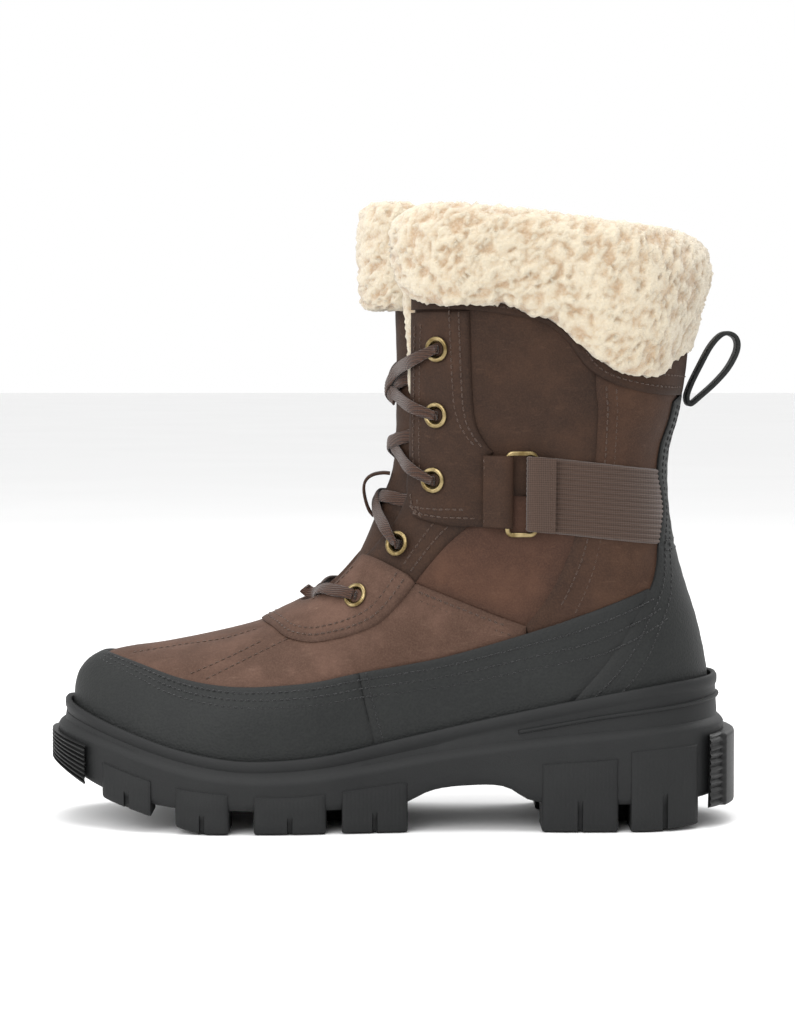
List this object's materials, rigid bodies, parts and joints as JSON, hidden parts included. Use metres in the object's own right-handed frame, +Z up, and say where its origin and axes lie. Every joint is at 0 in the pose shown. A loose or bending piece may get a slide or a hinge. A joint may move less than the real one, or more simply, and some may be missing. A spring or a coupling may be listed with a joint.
{
  "type": "insulated boot",
  "caption": "Ankle-high lined winter boot for the left foot in brown leather and black rubber, with a sheepskin cuff, brass eyelets, a webbing strap and a lugged sole.",
  "frame": {"origin": "on the ground under the middle of the heel, on the sole's heel lug", "axes": "+Z up, the toe towards -X, the outer side of the left boot towards -Y"},
  "size_m": [0.2898, 0.1208, 0.2625],
  "materials": {
    "black_rubber": "matte moulded rubber",
    "black_leather": "matte coated leather",
    "brown_leather": "oiled nubuck",
    "tan_leather": "oiled nubuck",
    "fleece": "curly sheepskin pile",
    "foam": "open-cell foam",
    "fibre_board": "pressed fibre",
    "webbing": "ribbed woven webbing",
    "lace_cloth": "flat braided polyester",
    "brass": "antique satin",
    "steel": "cold rolled"
  },
  "bodies": {
    "boot_body": {"outsole": "black_rubber", "toe_bumper": "black_rubber", "heel_bumper": "black_rubber", "midsole": "foam", "shank": "steel", "insole_board": "fibre_board", "toe_puff": "fibre_board", "heel_stiffener": "fibre_board", "insulation": "foam", "lining": "fleece", "vamp": "tan_leather", "quarter_facing_outer": "brown_leather", "quarter_facing_inner": "brown_leather", "quarter_outer": "brown_leather", "quarter_inner": "brown_leather", "shaft_panel_outer": "brown_leather", "shaft_panel_inner": "brown_leather", "back_quarter_outer": "tan_leather", "back_quarter_inner": "tan_leather", "throat_overlay": "tan_leather", "eyestay_outer": "brown_leather", "eyestay_inner": "brown_leather", "toe_rand": "black_leather", "side_rand_outer": "black_leather", "side_rand_inner": "black_leather", "heel_counter": "black_leather", "collar_band": "brown_leather", "webbing_strap_outer": "webbing", "webbing_strap_inner": "webbing", "strap_ring_outer": "brass", "strap_ring_inner": "brass", "cuff": "fleece", "lace": "lace_cloth", "eyelet_outer_1": "brass", "eyelet_inner_1": "brass", "eyelet_outer_2": "brass", "eyelet_inner_2": "brass", "eyelet_outer_3": "brass", "eyelet_inner_3": "brass", "eyelet_outer_4": "brass", "eyelet_inner_4": "brass", "eyelet_outer_5": "brass", "eyelet_inner_5": "brass"},
    "tongue_body": {"tongue": "brown_leather", "tongue_pad": "foam", "tongue_cuff": "fleece", "lace_keeper": "black_leather"},
    "footbed_body": {"footbed": "fleece"},
    "pull_loop_body": {"pull_loop": "black_leather"}
  },
  "joints": [
    {"name": "tongue_give", "type": "hinge", "parent": "boot_body", "child": "tongue_body", "pos_m": [-0.135, 0, 0.0845], "axis": [0, 1, 0], "range_deg": [0, 1.8], "stiffness_Nm_per_rad": 3},
    {"name": "footbed_lift", "type": "hinge", "parent": "boot_body", "child": "footbed_body", "pos_m": [-0.205, 0, 0.034], "axis": [0, -1, 0], "range_deg": [0, 5]},
    {"name": "pull_loop_flex", "type": "hinge", "parent": "boot_body", "child": "pull_loop_body", "pos_m": [0.0303, 0, 0.1755], "axis": [0, 1, 0], "range_deg": [-8, 70], "stiffness_Nm_per_rad": 0.02}
  ]
}
